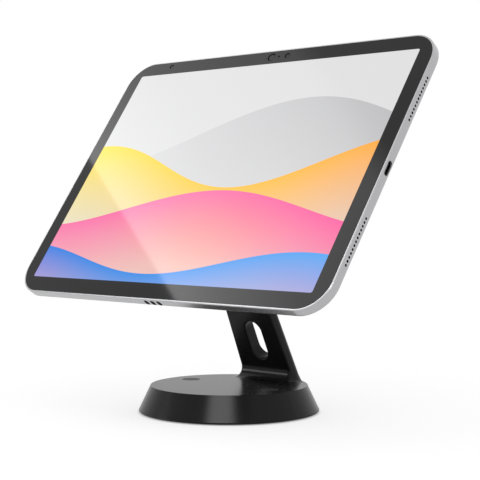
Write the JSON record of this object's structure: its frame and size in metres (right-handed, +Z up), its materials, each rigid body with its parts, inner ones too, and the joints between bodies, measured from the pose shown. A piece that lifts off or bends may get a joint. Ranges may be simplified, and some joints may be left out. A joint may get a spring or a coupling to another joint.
{
  "type": "tablet security kiosk stand",
  "caption": "Counter stand with a weighted round foot, a leaning neck with a cable slot, and a tilting, turning head that holds a tablet.",
  "frame": {"origin": "centre of the rubber foot pad's underside, on the counter", "axes": "+Z up; the screen faces -Y and leans back; +X to the right as seen from the front"},
  "size_m": [0.2486, 0.1161, 0.2159],
  "materials": {
    "black_paint": "semi-gloss black powder coat",
    "black_anodised": "satin black anodised",
    "rubber": "matt",
    "plug_plastic": "smooth satin",
    "zinc_steel": "zinc plated",
    "screw_steel": "black oxide",
    "spring_steel": "bright",
    "bearing_plastic": "natural acetal",
    "foam_tape": "matt foam",
    "tablet_aluminium": "fine bead blasted",
    "screen_glass": "polished, black behind",
    "lens_glass": "polished",
    "panel": "lit display",
    "module_black": "matt",
    "circuit_board": "solder mask",
    "shield_can": "tinned",
    "cell_foil": "foil pouch",
    "socket_steel": "satin",
    "contact_metal": "plated",
    "sleeve_plastic": "matt"
  },
  "bodies": {
    "stand": {"stand_casting": "black_paint", "foot_pad": "rubber", "bottom_cover": "zinc_steel", "cover_screws": "screw_steel", "ballast_plate": "zinc_steel", "mount_hole_plug_left": "plug_plastic", "mount_hole_plug_right": "plug_plastic", "hinge_bushes": "bearing_plastic"},
    "head": {"tilt_bracket": "black_paint", "hinge_bolt": "screw_steel", "tilt_washers": "bearing_plastic", "disc_springs": "spring_steel", "hinge_nut": "screw_steel", "turn_friction_ring": "bearing_plastic", "stop_pin": "screw_steel", "pivot_screw": "screw_steel", "wave_washer": "spring_steel", "pivot_nut": "screw_steel"},
    "tablet": {"mount_plate": "black_anodised", "adhesive_pad": "foam_tape", "rear_housing": "tablet_aluminium", "cover_glass": "screen_glass", "display_panel": "panel", "speaker_upper_left": "module_black", "speaker_upper_right": "module_black", "speaker_lower_left": "module_black", "speaker_lower_right": "module_black", "charging_socket": "socket_steel", "logic_board": "circuit_board", "board_shields": "shield_can", "battery_cell_left": "cell_foil", "battery_cell_right": "cell_foil", "front_camera": "module_black", "rear_camera": "module_black", "rear_camera_ring": "tablet_aluminium", "rear_camera_window": "lens_glass", "accessory_contacts": "contact_metal", "contact_sleeves": "sleeve_plastic", "button_switches": "module_black"},
    "power_key": {"power_button": "tablet_aluminium"},
    "volume_up_key": {"volume_up_button": "tablet_aluminium"},
    "volume_down_key": {"volume_down_button": "tablet_aluminium"}
  },
  "joints": [
    {"name": "tilt", "type": "hinge", "parent": "stand", "child": "head", "pos_m": [0, -0.00354, 0.10833], "axis": [1, 0, 0], "range_deg": [-45, 12]},
    {"name": "turn", "type": "hinge", "parent": "head", "child": "tablet", "pos_m": [0, 0.00987, 0.12753], "axis": [0, -0.8198, 0.5727], "range_deg": [-90, 90]},
    {"name": "power_press", "type": "slide", "parent": "tablet", "child": "power_key", "axis": [0, -0.5727, -0.8198], "range_m": [0, 0.0003], "stiffness_N_per_m": 2500, "springref_m": -0.0001},
    {"name": "volume_up_press", "type": "slide", "parent": "tablet", "child": "volume_up_key", "axis": [0, -0.5727, -0.8198], "range_m": [0, 0.0003], "stiffness_N_per_m": 2500, "springref_m": -0.0001},
    {"name": "volume_down_press", "type": "slide", "parent": "tablet", "child": "volume_down_key", "axis": [0, -0.5727, -0.8198], "range_m": [0, 0.0003], "stiffness_N_per_m": 2500, "springref_m": -0.0001}
  ]
}
